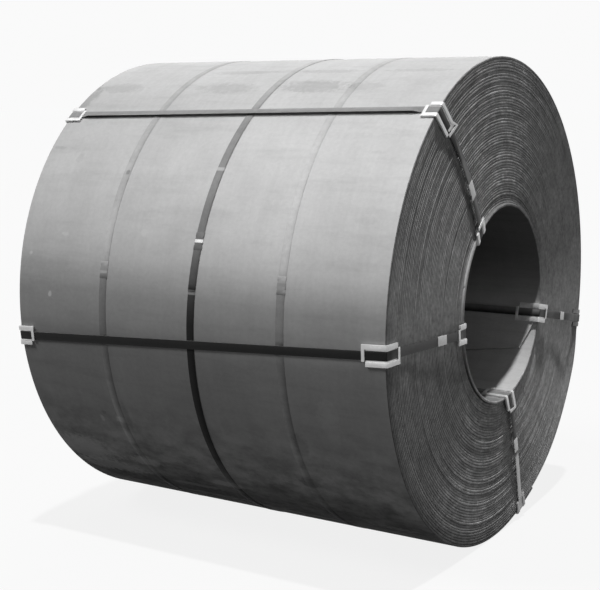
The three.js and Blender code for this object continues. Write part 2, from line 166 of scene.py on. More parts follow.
# The upper strap on the round surface: its angle at the back and the front, and the stretch between its
# protectors, counted from the middle of the strip. It is twisted by this many degrees, which it reaches over
# the given length, and its long edges get this many cuts first.
UPPER_STRAP_ANGLES = (130.4, 127.8)
UPPER_STRAP_FREE = (-0.738, 0.754)
UPPER_STRAP_TWIST = 12.0
UPPER_STRAP_EASE = 0.03
UPPER_STRAP_CUTS = 29

# Where the far strap stands out on the front, from one radius to another, how far, and the cuts of its edges.
FAR_STRAP_BULGE = (0.56, 0.93, 0.015)
FAR_STRAP_CUTS = 15

# What is left of a piece's height when it is beaten flat on the round surface, of the far outer protector's
# height off the front, and of the far seal's length.
PRESSED_FLAT = {
    "body_strap_left_seal": 0.2,
    "body_strap_middle_seal": 0.5,
    "body_strap_right_seal": 0.2,
    "protector_far_outer_front": 0.35,
}
PRESSED_BACK = 0.4
FAR_SEAL_LENGTH = 0.7

# The upper outer protector's rail: how far from its end it bends, how near the end and how far to the side a
# corner has to be to move, and how far it moves sideways and forwards.
FLARE_BEND = 0.030
FLARE_END = 0.02
FLARE_SIDE = -0.033
FLARE_SIDEWAYS = -0.010
FLARE_FORWARDS = 0.006

# How a solid's copy is cleaned, and the angles in degrees over which edges are rounded or stay sharp.
MERGE_DISTANCE = 0.00001
FLAT_WITHIN = 0.5
ROUNDED_FROM = 50
SHARP_FROM = 40
BODY_STRAP_SHARP_FROM = 60

# ---- Colours, wear, and painted light and shade -----------------------------------------------------------

COLOUR = {"subtype": "COLOR", "size": 4, "min": 0.0, "max": 1.0}
# The underside's darker tone: partly its own, partly painted shade.
UNDERSIDE_SCALE_AND_SHADE = grey(0.40)
# A black strap's tone where it faces up: partly dust, partly a painted sheen.
DUST_AND_SHEEN_GREY = grey(0.26)
DULL_SEAL = grey(0.62)
DARK_SHEET = grey(0.03)
DULL_SHEET = grey(0.42)
SOOT = grey(0.12)
CHALK = grey(0.75)
SCUFF = grey(0.68)
PALE_DIRT = grey(0.72)

# Most of a noise lies between these two.
MIDDLING = (0.3, 0.7)

# The rolled face's grains: their scale across the strip, along it and outwards, detail and roughness, and the
# stretch of the noise that gives the tones that follow.
SCALE_GRAINS = {
    "bands": ((2.2, 0.15, 1), 2, 0.5, MIDDLING, (0.96, 1.03)),
    "streaks": ((38, 1.4, 3), 3, 0.6, MIDDLING, (0.975, 1.02)),
    "blotches": ((5, 4.5, 1), 4, 0.6, MIDDLING, (0.94, 1.05)),
    "smudges": ((2.4, 16, 1), 4, 0.65, (0.28, 0.5), (0.9, 1.0)),
    "fine": ((60, 60, 1), 3, 0.6, MIDDLING, (0.96, 1.04)),
}

# Dirt underneath: a grain as above, and the angles down from the crest between which it sets in.
DIRT_GRAIN = ((7, 9, 1), 5, 0.7, (0.38, 0.62), (-0.34, 0.34))
DIRTY_FROM = (108, 132)

# The rolled face is dusted and lighter where its normal points up, and turns to the darker underside's tone
# between these two: partly dust, partly painted light and shade.
SCALE_TURNS_OVER = (-0.25, 0.35)

# The outside's dirt and painted shade give way to painted shade in the bore between these radii. Each stretch
# of the bore's painted shade is the angle of its middle, half its width and its fade.
OUTSIDE_FROM = (0.42, 0.44)
BORE_PAINTED_SHADE = ((240, 28, 14), (70, 42, 48))
BORE_PAINTED_SHADE_STRENGTH = 0.6

# The flank grows lighter towards the front: from one place along the axis to another and from one tone to
# another. It does so between the angles down from the crest at which this comes and goes.
FLANK_ALONG = (-0.8, 0.35, -0.12, 0.14)
FLANK_COMES = (22, 44)
FLANK_GOES = (80, 92)

# Painted shade on the rolled face: how much of its tone is left, by the angle down from the crest, least
# underneath.
PAINTED_SHADE_BY_ANGLE = (
    (0, 1.0), (6, 0.98), (14, 0.94), (36, 0.88), (46, 0.93), (56, 1.0), (70, 1.0), (77, 0.98), (81, 0.86),
    (86, 0.72), (92, 0.80), (98, 0.77), (104, 0.79), (110, 0.82), (116, 0.86), (122, 0.98), (128, 1.0),
    (131, 0.96), (134, 0.86), (140, 0.62), (146, 0.34), (154, 0.16), (180, 0.12),
)

# Marks on the rolled face: place along the axis, angle, half sizes along the axis and round it, strength and
# colour.
SCALE_MARKS = (
    (-0.15, 109.7, 0.20, 0.024, 0.13, SOOT),
    (0.23, 109.7, 0.17, 0.024, 0.15, SOOT),
    (0.62, 109.7, 0.17, 0.020, 0.15, SOOT),
    (-0.68, 118.6, 0.14, 0.044, 0.18, SOOT),
    (-0.15, 118.8, 0.16, 0.048, 0.18, SOOT),
    (0.24, 118.2, 0.19, 0.056, 0.22, SOOT),
    (0.45, 118.4, 0.10, 0.034, 0.14, SOOT),
    (-0.80, 124.0, 0.05, 0.120, 0.30, SOOT),
    (-0.375, 147.2, 0.012, 0.012, 0.45, SOOT),
    (-0.765, 141.0, 0.040, 0.010, 0.14, SOOT),
    (-0.640, 143.8, 0.020, 0.030, 0.12, SOOT),
    (-0.690, 148.0, 0.050, 0.060, 0.06, CHALK),
    (-0.223, 161.5, 0.018, 0.018, 0.40, CHALK),
    (-0.600, 163.0, 0.022, 0.010, 0.35, CHALK),
    (-0.652, 177.2, 0.012, 0.014, 0.55, CHALK),
    (-0.763, 168.0, 0.012, 0.010, 0.45, CHALK),
    (0.690, 156.0, 0.050, 0.016, 0.08, SOOT),
    (0.660, 140.0, 0.030, 0.010, 0.07, SOOT),
    (-0.403, 223.0, 0.100, 0.040, 0.55, SCUFF),
    (-0.043, 227.5, 0.090, 0.030, 0.60, SCUFF),
    (-0.700, 222.0, 0.190, 0.110, 0.55, PALE_DIRT),
    (-0.640, 229.0, 0.240, 0.060, 0.55, PALE_DIRT),
    (-0.403, 208.0, 0.035, 0.018, 0.40, SCUFF),
    (0.425, 206.6, 0.035, 0.070, 0.28, SOOT),
    (-0.501, 208.4, 0.012, 0.022, 0.40, SCUFF),
    (-0.366, 206.8, 0.022, 0.080, 0.28, SOOT),
    (-0.480, 206.5, 0.016, 0.012, 0.30, SOOT),
    (0.394, 219.0, 0.050, 0.040, 0.45, SOOT),
    (-0.230, 232.0, 0.160, 0.022, 0.35, SCUFF),
    (0.570, 199.0, 0.050, 0.110, 0.10, SCUFF),
    (-0.170, 238.0, 0.220, 0.020, 0.25, SCUFF),
    (0.250, 240.0, 0.160, 0.016, 0.22, SCUFF),
    (0.640, 236.0, 0.120, 0.022, 0.25, SCUFF),
)
MARK_RAGGEDNESS = 2.5
MARK_FADE = (0.2, 1.0)

# On the coil's ends, a noise that moves on this much with each turn gives each its tone: the stretch of the
# noise, and the tones at its two ends.
TURN_TONE_PACE = 1.7
TURN_TONES = (0.25, 0.75, -0.22, 0.18)

# Bright dashes along the turns, painted glints on their edges: rows in each turn, how far apart the rows lie
# in their noise, how fast it changes with the angle, the stretch of it that is bright, how bright they are
# outside the glint zones and in them, and the tone between them.
DASH_ROWS = 2
DASH_APART = 3.7
DASH_PACE = 0.16
DASHES = (0.42, 0.72)
DASH_STRENGTH = (0.12, 0.75)
BETWEEN_DASHES = 0.96

# Zones round the coil's ends: the angle of the middle, half the width and the fade.
# The first zones are where painted glints are strongest: at the top and the bottom of the ends.
GLINT_ZONES = ((90, 18, 22), (255, 16, 22))
PAINTED_LIGHT_ZONE = (315, 10, 22)
CALM_ZONE = (348, 44, 26)

# How much lighter the turns are in the zone of painted light, and how much of their tone is left in the calm
# one.
PAINTED_LIGHT_STRENGTH = 0.5
CALM_SHARE = 0.35

# Darkening on the coil's ends: a zone, then from one turn to another and from one strength to another. In
# order they are painted shade at the foot, where the coil rests; darker inner turns near the top of the bore;
# darker outermost turns at the lower left; and the painted shadow that the upper strap casts beside itself.
END_SHADE_AND_DARKENING = (
    ((252, 16, 20), (44.0, 52.0, 0.0, 0.4)),
    ((68, 34, 24), (3.0, 8.0, 0.36, 0.0)),
    ((215, 45, 25), (49.5, 51.5, 0.0, 0.22)),
    ((129, 0.6, 1.6), (38.0, 46.0, 0.45, 0.0)),
)
OUTERMOST_TURN = (52.6, 53.4, 1.0, 0.7)

# Speckles over all the turns' edges: the noise's scale, and the tones that it gives.
END_SPECKLES = ((60, 0.78, 1.2), (17, 0.84, 1.14), (3.5, 0.85, 1.12))

# How much of each body strap is dusted over, by the angle down from the crest, partly a painted sheen on the
# middle strap's upper part, and the bands across it: angle, half length in millimetres, colour and shine.
BODY_STRAP_FINISHES = {
    "left": {
        "dust_and_sheen": ((0, 0.83), (62, 0.83), (68, 1.0), (78, 1.0), (82, 0.66), (95, 0.68), (99, 0.83), (114, 1.0)),
        "bands": ((171.0, 5, grey(0.5), 0),),
    },
    "middle": {
        "dust_and_sheen": (
            (0, 0.92), (20, 0.87), (30, 0.76), (43, 0.48), (57, 0.46), (70, 0.38), (78, 0.24), (91, 0.05),
            (112, 0.1), (122, 0.14), (130, 0.25), (136, 0.6), (146, 0.9), (150, 1.0),
        ),
        "bands": ((145.6, 7, grey(0.55), 0), (162.5, 6, grey(0.80), 0.6), (173.7, 9, grey(0.30), 0)),
    },
    "right": {
        "dust_and_sheen": ((0, 0.87), (36, 0.87), (48, 0.94), (60, 1.0), (76, 0.96), (83, 0.66), (91, 0.8), (130, 0.9)),
        "bands": ((170.4, 6, grey(0.38), 0),),
    },
}
BAND_FADE = 1.5

# Where each eye strap is dusted over or worn bare on the front: from one radius to another, colour and shine.
# The bottom strap's worn stretch is partly a painted highlight, where the strap catches the light.
EYE_STRAP_FRONT_MARKS_AND_HIGHLIGHT = {
    "upper": ((0.42, 0.70, grey(0.16), 0),),
    "near": ((0.40, 0.92, grey(0.11), 0),),
    # Partly worn bare, partly a painted highlight.
    "bottom": ((0.67, 0.96, grey(0.55), 0.4),),
    "far": (),
}

# A bare stretch fades from this far within its ends to this far beyond them, and over this depth behind the
# front. Dust and a painted sheen set in as the strap's normal turns up from the first of these heights to the
# second.
BARE_WITHIN = 0.02
BARE_BEYOND = 0.01
FRONT_DEPTH = 0.002
DUST_AND_SHEEN_UPWARDS = (0.05, 0.45)

# ---- Stage ------------------------------------------------------------------------------------------------

# The camera's place is counted from the middle of the axis, its turns are degrees about X and Z, and its
# lens and sensor are millimetres.
CAMERA_FROM_AXIS = Vector((2.6733, -4.5044, 0.7773))
CAMERA_TURNS = (81.217, 31.623)
CAMERA_LENS = 74.957
CAMERA_SENSOR = 36
CAMERA_REACH = 1000

# Where each lamp's light comes from, its strength, and how wide it is in degrees. At a strength of 1 a white
# surface that faces the lamp renders white.
LAMPS = {
    "key_lamp": ((0.097, -0.139, 0.990), 0.76, 2),
    "side_lamp": ((-0.500, -0.500, 0.707), 0.33, 20),
    "back_lamp": ((-0.150, 0.820, 0.550), 0.15, 60),
}
AMBIENT = 0.12
WHITE = grey(1.0)

# The floor's size, the white that it and the surroundings show, the share of it that glows, and the grey as
# which the floor lights the coil.
FLOOR_SIZE = 400
FLOOR_WHITE = 0.955
FLOOR_GLOW_SHARE = 0.9
FLOOR_DIM = grey(0.10)


class SteelCoilSizes(bpy.types.PropertyGroup):
    bore_radius: FloatProperty(
        name="Bore radius", description="Radius of the bore", default=0.381, unit="LENGTH")
    turns: IntProperty(
        name="Turns", description="How many turns of strip the coil holds", default=54, min=2)
    turn_gap: FloatProperty(
        name="Gap between turns", description="Air left between two turns", default=0.0003, unit="LENGTH")
    edge_rounding: FloatProperty(
        name="Edge rounding", description="How far the strip's mill edge is rounded off",
        default=0.0027, unit="LENGTH")
    stagger: FloatProperty(
        name="Stagger", description="How far the turns' edges lie back from each other",
        default=0.0035, unit="LENGTH")
    strap_width: FloatProperty(
        name="Strap width", description="Width of the steel strapping", default=0.032, unit="LENGTH")
    strap_thickness: FloatProperty(
        name="Strap thickness", description="Thickness of the steel strapping", default=0.001, unit="LENGTH")
    thin_strap: FloatProperty(
        name="Thin strap", description="Thickness of the grey body straps", default=0.0002, unit="LENGTH")
    sheet_edge: FloatProperty(
        name="Sheet edge", description="Rounding of the edges of seals and protectors",
        default=0.0005, unit="LENGTH")


class SteelCoilFinish(bpy.types.PropertyGroup):
    mill_scale: FloatVectorProperty(
        name="Mill scale", description="Colour of the strip's rolled faces", default=grey(0.62), **COLOUR)
    strip_edge: FloatVectorProperty(
        name="Strip edge", description="Colour of the strip's mill edges", default=grey(0.405), **COLOUR)
    black_strap: FloatVectorProperty(
        name="Black strap", description="Colour of the painted strapping", default=grey(0.02), **COLOUR)
    galvanised: FloatVectorProperty(
        name="Galvanised sheet", description="Colour of protectors", default=grey(0.82), **COLOUR)
    floor: FloatVectorProperty(
        name="Floor", description="Colour of the floor", default=grey(0.9), **COLOUR)


# ---- Small helpers ----------------------------------------------------------------------------------------

def set_mode(mode):
    bpy.ops.object.mode_set(mode=mode)


def deselect_all():
    if bpy.context.object and bpy.context.object.mode != "OBJECT":
        set_mode("OBJECT")
    bpy.ops.object.select_all(action="DESELECT")


def make_active(piece):
    deselect_all()
    piece.select_set(True)
    bpy.context.view_layer.objects.active = piece


def edit_all(piece):
    """Opens a piece in edit mode with all of it selected."""
    make_active(piece)
    set_mode("EDIT")
    bpy.ops.mesh.select_all(action="SELECT")


def edit_none(piece, kind):
    """Opens a piece in edit mode with none of it selected."""
    make_active(piece)
    set_mode("EDIT")
    bpy.ops.mesh.select_mode(type=kind)
    bpy.ops.mesh.select_all(action="DESELECT")


def edit_chosen(piece, kind, chosen):
    """Opens a piece in edit mode with only the chosen corners, edges or faces selected."""
    edit_none(piece, kind)
    set_mode("OBJECT")
    parts = {"VERT": piece.data.vertices, "EDGE": piece.data.edges, "FACE": piece.data.polygons}
    parts[kind].foreach_set("select", chosen)
    set_mode("EDIT")


def finish_primitive(name):
    """Names the primitive just added, and puts its place in its mesh."""
    piece = bpy.context.active_object
    piece.name = name
    piece.data.name = name
    bpy.ops.object.transform_apply(location=True, rotation=True, scale=True)
    return piece


def apply_modifier(piece, kind, **settings):
    make_active(piece)
    modifier = piece.modifiers.new(kind.title(), kind)
    for key, value in settings.items():
        setattr(modifier, key, value)
    bpy.ops.object.modifier_apply(modifier=modifier.name)


def round_edges(piece, width):
    apply_modifier(
        piece, "BEVEL", width=width, segments=2, limit_method="ANGLE",
        angle_limit=math.radians(ROUNDED_FROM), use_clamp_overlap=True)


def read_points(piece, origin=AXIS):
    """The piece's corners, counted from the middle of the coil's axis unless another origin is given."""
    points = np.empty(len(piece.data.vertices) * 3, dtype=np.float64)
    piece.data.vertices.foreach_get("co", points)
    return points.reshape(-1, 3) - np.array(origin)


def write_points(piece, points):
    """Puts the piece's corners at points counted from the middle of the coil's axis."""
    piece.data.vertices.foreach_set("co", (points + np.array(AXIS)).ravel())
    piece.data.update()


def radius_of(points):
    """How far each point lies from the coil's axis."""
    return np.hypot(points[:, 1], points[:, 2])


def ease(share):
    """An even course from 0 to 1, made to start and end gently."""
    return share * share * (3 - 2 * share)


def smooth_walk(knots, positions):
    """A smooth line through evenly spaced knots, read at the given positions."""
    whole = np.floor(positions).astype(int)
    share = ease(positions - whole)
    whole = np.clip(whole, 0, len(knots) - 2)
    return knots[whole] * (1 - share) + knots[whole + 1] * share


def looseness(degrees, along):
    """How far the outermost wrap stands off, by the angle and by the place along the coil's axis."""
    return np.interp(np.mod(degrees, 360), *zip(*LOOSE_WRAPS)) * np.clip(along / STRIP_WIDTH + 0.5, 0, 1)


def copy_solid(node, name):
    """A tidied copy of a solid: its corners merged and its flat faces whole."""
    piece = bpy.data.objects.new(name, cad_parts[node].data.copy())
    piece.data.name = name
    bpy.context.collection.objects.link(piece)
    edit_all(piece)
    bpy.ops.mesh.remove_doubles(threshold=MERGE_DISTANCE)
    bpy.ops.mesh.dissolve_limited(angle_limit=math.radians(FLAT_WITHIN))
    set_mode("OBJECT")
    return piece


def cut_long_edges(piece, chosen, cuts):
    """Cuts the long edges between two chosen corners, so that the stretch between them can be bent."""
    points = read_points(piece)
    ends = np.array([edge.vertices[:] for edge in piece.data.edges])
    long = np.linalg.norm(points[ends[:, 0]] - points[ends[:, 1]], axis=1) > LONG_EDGE
    edit_chosen(piece, "EDGE", chosen[ends].all(axis=1) & long)
    bpy.ops.mesh.subdivide(number_cuts=cuts)
    set_mode("OBJECT")


def bulge_out(piece):
    """The far strap is slack: on the front it stands out, most of all at its seal."""
    points = read_points(piece)
    low, high, height = FAR_STRAP_BULGE
    share = np.clip(1 - np.abs(2 * radius_of(points) - low - high) / (high - low), 0, 1)
    points[:, 0] += np.where(points[:, 0] > HALF_WIDTH, height * share, 0)
    write_points(piece, points)


def take_place(piece, node, slot, sharp_from, *materials):
    """Gives a piece its finishes, and lets it stand for its solid."""
    piece.data.materials.clear()
    for material in materials:
        piece.data.materials.append(material)
    make_active(piece)
    bpy.ops.object.shade_smooth_by_angle(angle=math.radians(sharp_from))
    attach(piece, "root")
    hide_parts(node)


# ---- Materials --------------------------------------------------------------------------------------------

class Recipe:
    """Builds one node material, a line at a time. Its places round the coil are made once and shared."""

    def __init__(self, name):
        self.material = bpy.data.materials.new(name)
        self.material.use_nodes = True
        self.tree = self.material.node_tree
        self.shader = self.tree.nodes["Principled BSDF"]

    def set(self, **sockets):
        self.feed_named(self.shader, **sockets)

    def feed(self, socket, value):
        if isinstance(value, bpy.types.NodeSocket):
            self.tree.links.new(value, socket)
        else:
            socket.default_value = value

    def feed_named(self, node, **sockets):
        """Feeds a node's inputs by name. An underscore stands for a space."""
        for name, value in sockets.items():
            self.feed(node.inputs[name.replace("_", " ")], value)

    def add(self, kind, **settings):
        node = self.tree.nodes.new(kind)
        for key, value in settings.items():
            setattr(node, key, value)
        return node

    def add_fed(self, kind, *values, **settings):
        """Adds a node and feeds its first inputs in order."""
        node = self.add(kind, **settings)
        for socket, value in zip(node.inputs, values):
            self.feed(socket, value)
        return node

    def math(self, operation, *values):
        return self.add_fed("ShaderNodeMath", *values, operation=operation).outputs[0]

    def plus(self, first, second):
        return self.math("ADD", first, second)

    def minus(self, first, second):
        return self.math("SUBTRACT", first, second)

    def times(self, *factors):
        return reduce(lambda first, second: self.math("MULTIPLY", first, second), factors)

    def most(self, first, second):
        return self.math("MAXIMUM", first, second)

    def apart(self, first, second):
        """How far apart two values are."""
        return self.math("ABSOLUTE", self.minus(first, second))

    def join(self, *values):
        return self.add_fed("ShaderNodeCombineXYZ", *values).outputs[0]

    def split(self, vector):
        return self.add_fed("ShaderNodeSeparateXYZ", vector).outputs[:]

    def spread(self, value, low, high, to_low=0.0, to_high=1.0, course="LINEAR"):
        """Carries the range low to high over to to_low to to_high, and holds it there."""
        values = (value, low, high, to_low, to_high)
        return self.add_fed("ShaderNodeMapRange", *values, clamp=True, interpolation_type=course).outputs[0]

    def fade(self, value, low, high):
        """1 up to low, and gently down to 0 at high."""
        return self.spread(value, low, high, 1.0, 0.0, course="SMOOTHSTEP")

    def ramp(self, value, *stops):
        """A line through the stops, each of them a place and a height from 0 to 1."""
        last = stops[-1][0]
        node = self.add_fed("ShaderNodeValToRGB", self.math("DIVIDE", value, last))
        elements = node.color_ramp.elements
        while len(elements) < len(stops):
            elements.new(1.0)
        for element, (place, height) in zip(elements, stops):
            element.position = place / last
            element.color = grey(height)
        return node.outputs["Color"]

    @cached_property
    def from_axis(self):
        """Object coordinates counted from the coil's axis."""
        mapping = self.add("ShaderNodeMapping")
        coordinates = self.add("ShaderNodeTexCoord").outputs["Object"]
        self.feed_named(mapping, Vector=coordinates, Location=-AXIS)
        return mapping.outputs[0]

    @cached_property
    def places(self):
        """The parts of from_axis: place along the axis, and the two places across it."""
        return self.split(self.from_axis)

    @property
    def place_along(self):
        """Place along the coil's axis, counted from the middle of the strip."""
        return self.places[0]

    @cached_property
    def from_bore(self):
        """Distance from the coil's axis."""
        _along, y, z = self.places
        return self.math("SQRT", self.plus(self.times(y, y), self.times(z, z)))

    @cached_property
    def angle_round(self):
        """Angle round the coil in degrees, from +Y towards +Z, between 0 and 360."""
        _along, y, z = self.places
        return self.math("FLOORED_MODULO", self.times(self.math("ARCTAN2", z, y), 180 / math.pi), 360)

    @cached_property
    def down_from_top(self):
        """How far round from the crest, either way: 0 at the top of the coil and 180 underneath."""
        return self.away_from(90)

    def away_from(self, degrees):
        """How far round the coil from an angle, either way, between 0 and 180."""
        turned = self.math("FLOORED_MODULO", self.plus(self.angle_round, 180 - degrees), 360)
        return self.apart(turned, 180)

    def near_angle(self, middle, half, fade):
        """1 within half of an angle round the coil, and 0 from half and fade away."""
        return self.fade(self.away_from(middle), half, half + fade)

    def faces_up(self, low, high):
        """0 to 1 as the surface turns from facing down (-1) to facing up (1), over the range given."""
        height = self.split(self.add("ShaderNodeTexCoord").outputs["Normal"])[2]
        return self.spread(height, low, high, course="SMOOTHSTEP")

    def unrolled(self, across, along, out):
        """Place on the strip: across it, along it round the coil, and outwards, each at its own scale."""
        x, y, z = self.places
        angle = self.math("ARCTAN2", y, z)
        return self.join(self.times(x, across), self.times(angle, along), self.times(self.from_bore, out))

    def noise(self, vector, scale=1.0, detail=2.0, roughness=0.5):
        node = self.add("ShaderNodeTexNoise")
        self.feed_named(node, Vector=vector, Scale=scale, Detail=detail, Roughness=roughness)
        return node.outputs["Fac"]

    def band_across(self, degrees, half_length):
        """1 in a band across a strap at one angle round the coil; its half length in millimetres."""
        away = self.times(self.away_from(degrees), 1000 * ARC_OF_A_DEGREE)
        return self.fade(away, half_length - BAND_FADE, half_length + BAND_FADE)

    def spot(self, place, degrees, across, along, rough):
        """A soft spot with a ragged outline on the round surface: place, angle and its two half sizes."""
        side = self.math("DIVIDE", self.minus(self.place_along, place), across)
        arc = self.times(self.away_from(degrees), ARC_OF_A_DEGREE / along)
        away = self.plus(self.times(side, side), self.times(arc, arc))
        away = self.plus(away, self.times(self.minus(rough, 0.5), MARK_RAGGEDNESS))
        return self.fade(away, *MARK_FADE)

    def blend(self, share, first, second):
        node = self.add("ShaderNodeMix", data_type="RGBA")
        self.feed(node.inputs["Factor"], share)
        for socket, colour in zip([i for i in node.inputs if i.type == "RGBA"], (first, second)):
            self.feed(socket, colour)
        return next(o for o in node.outputs if o.type == "RGBA")

    def marked(self, tone, marks):
        """A tone with marks laid over it, and how metallic they make it: share, colour and shine of each."""
        metal = 0.0
        for share, mark, shine in marks:
            tone = self.blend(share, tone, mark)
            if shine:
                metal = self.times(share, shine)
        return tone, metal

    def shade(self, colour, *factors):
        """The colour, made darker or lighter by each factor in turn."""
        scale = self.add("ShaderNodeVectorMath", operation="SCALE")
        self.feed(scale.inputs[0], colour if isinstance(colour, bpy.types.NodeSocket) else colour[:3])
        self.feed(scale.inputs["Scale"], self.times(*factors))
        return scale.outputs[0]

    def bump(self, height, distance, strength):
        node = self.add("ShaderNodeBump")
        self.feed_named(node, Height=height, Distance=distance, Strength=strength)
        return node.outputs[0]


def scale_grain(recipe, scales, detail, roughness, *_tones):
    """One grain of the rolled face, as a noise."""
    return recipe.noise(recipe.unrolled(*scales), detail=detail, roughness=roughness)


def grain_tone(recipe, grain):
    """The tones that one grain of the rolled face gives."""
    *_noise, stretch, tones = grain
    return recipe.spread(scale_grain(recipe, *grain), *stretch, *tones)


def scale_tone(recipe, colour):
    """The colour of the strip's rolled faces: dusted and lighter where they face up, darker underneath with
    painted shade, painted shade in the bore, dirty underneath, smeared and scuffed."""
    down = recipe.down_from_top
    outside = recipe.spread(recipe.from_bore, *OUTSIDE_FROM)
    under = recipe.times(recipe.spread(down, *DIRTY_FROM), outside)
    # Painted shade: the rolled face darkens by the angle down from the crest, on the outside only.
    painted_shade = recipe.times(recipe.minus(1.0, recipe.ramp(down, *PAINTED_SHADE_BY_ANGLE)), outside)
    # Painted shade in the bore: darker in two stretches round it.
    bore_shade = recipe.times(recipe.most(*(recipe.near_angle(*zone) for zone in BORE_PAINTED_SHADE)), BORE_PAINTED_SHADE_STRENGTH)
    front = recipe.spread(recipe.place_along, *FLANK_ALONG)
    flank = recipe.times(recipe.spread(down, *FLANK_COMES), recipe.spread(down, *FLANK_GOES, 1.0, 0.0))
    # Lighter facing up and darker facing down: partly dust, partly painted light and shade.
    tone = recipe.shade(
        recipe.blend(recipe.faces_up(*SCALE_TURNS_OVER), UNDERSIDE_SCALE_AND_SHADE, colour),
        *(grain_tone(recipe, grain) for grain in SCALE_GRAINS.values()),
        recipe.plus(1.0, recipe.times(front, flank)),
        recipe.plus(1.0, recipe.times(grain_tone(recipe, DIRT_GRAIN), under)),
        recipe.minus(1.0, painted_shade),
        recipe.minus(1.0, recipe.times(bore_shade, recipe.minus(1.0, outside))),
    )
    rough = recipe.noise(recipe.from_axis, scale=45, detail=4, roughness=0.7)
    for *spot, strength, mark in SCALE_MARKS:
        tone = recipe.blend(recipe.times(recipe.spot(*spot, rough), strength), tone, mark)
    return tone


def mill_scale(colour):
    """The strip's rolled faces."""
    recipe = Recipe("mill_scale")
    streaks = scale_grain(recipe, *SCALE_GRAINS["streaks"])
    blotches = scale_grain(recipe, *SCALE_GRAINS["blotches"])
    recipe.set(
        Base_Color=scale_tone(recipe, colour),
        Specular_IOR_Level=0.003,
        Roughness=recipe.spread(blotches, *MIDDLING, 0.6, 0.5),
        Normal=recipe.bump(recipe.plus(streaks, blotches), distance=0.0012, strength=0.35),
    )
    return recipe.material


def turn_tone(recipe, wound):
    """Each turn's own tone, as how far it is from the strip's, calmer in one zone."""
    tone = recipe.noise(recipe.join(recipe.times(wound, TURN_TONE_PACE)), detail=3, roughness=0.7)
    calm = recipe.spread(recipe.near_angle(*CALM_ZONE), 0.0, 1.0, 1.0, CALM_SHARE)
    return recipe.times(recipe.spread(tone, *TURN_TONES), calm)


def bright_dashes(recipe, wound):
    """Bright dashes along the turns as painted glints, brightest in the zones where the turns' edges catch
    the light.
    """
    row = recipe.times(recipe.math("FLOOR", recipe.times(wound, DASH_ROWS)), DASH_APART)
    broken = recipe.join(row, recipe.times(recipe.angle_round, DASH_PACE))
    dashes = recipe.spread(recipe.noise(broken, detail=2, roughness=0.6), *DASHES)
    # Painted glints: the dashes are brightest in the zones at the top and bottom of the ends.
    glinting = recipe.most(*(recipe.near_angle(*zone) for zone in GLINT_ZONES))
    return recipe.times(dashes, recipe.spread(glinting, 0.0, 1.0, *DASH_STRENGTH))


def mill_edge(colour):
    """The strip's edges on the coil's ends: each turn has its own tone, broken along the turn, and the ends
    are speckled, lighter in a zone of painted light, with painted glints along the turns, and darker in
    places:
    painted shade at the foot, the upper strap's painted shadow, and darker turns near the bore and at the
    outer rim."""
    recipe = Recipe("mill_edge")
    wound = recipe.add("ShaderNodeAttribute", attribute_name="wound").outputs["Fac"]
    speckles = [
        recipe.noise(recipe.from_axis, scale=scale, detail=3, roughness=0.6)
        for scale, *_tones in END_SPECKLES]
    # Darker places on the ends: painted shade at the foot, the upper strap's painted shadow, and darker
    # turns.
    shade_and_darkening = [
        recipe.times(recipe.near_angle(*zone), recipe.spread(wound, *turns))
        for zone, turns in END_SHADE_AND_DARKENING]
    recipe.set(
        Base_Color=recipe.shade(
            colour,
            recipe.plus(1.0, turn_tone(recipe, wound)),
            # Painted light: the turns are lighter in one zone at the lower right.
            recipe.plus(1.0, recipe.times(recipe.near_angle(*PAINTED_LIGHT_ZONE), PAINTED_LIGHT_STRENGTH)),
            *(recipe.spread(speckle, *MIDDLING, *tones)
              for speckle, (_scale, *tones) in zip(speckles, END_SPECKLES)),
            recipe.plus(BETWEEN_DASHES, bright_dashes(recipe, wound)),
            *(recipe.minus(1.0, share) for share in shade_and_darkening),
            recipe.spread(wound, *OUTERMOST_TURN),
        ),
        Specular_IOR_Level=0.07,
        Roughness=0.7,
        Normal=recipe.bump(speckles[0], distance=0.001, strength=0.5),
    )
    return recipe.material


def strap_rub(recipe):
    """How a strap is rubbed, which both kinds of strap paint share."""
    return recipe.noise(recipe.from_axis, scale=30, detail=4, roughness=0.6)


def strap_paint(name, colour, dust_and_sheen_tone, front_marks_and_highlight):
    """Painted strapping, dusted and lighter where it faces up, partly a painted sheen, and rubbed along its
    length. On the front face it can be dusted over or worn to the metal, and the bottom strap's worn stretch
    is partly a painted highlight: from one radius to another, colour and shine."""
    recipe = Recipe(name)
    rub = strap_rub(recipe)
    on_front = recipe.spread(recipe.place_along, HALF_WIDTH - FRONT_DEPTH, HALF_WIDTH)
    marks = []
    for low, high, mark, shine in front_marks_and_highlight:
        away = recipe.apart(recipe.from_bore, (low + high) / 2)
        half = (high - low) / 2
        share = recipe.times(recipe.fade(away, half - BARE_WITHIN, half + BARE_BEYOND), on_front)
        marks.append((share, mark, shine))
    # Lighter where the strap faces up: partly dust, partly a painted sheen.
    tone, metal = recipe.marked(recipe.blend(recipe.faces_up(*DUST_AND_SHEEN_UPWARDS), colour, dust_and_sheen_tone), marks)
    recipe.set(
        Base_Color=recipe.shade(tone, recipe.spread(rub, 0.35, 0.7, 0.9, 1.12)),
        Metallic=metal,
        Specular_IOR_Level=0.1,
        Roughness=recipe.spread(rub, *MIDDLING, 0.38, 0.52),
        Normal=recipe.bump(rub, distance=0.0003, strength=0.3),
    )
    return recipe.material


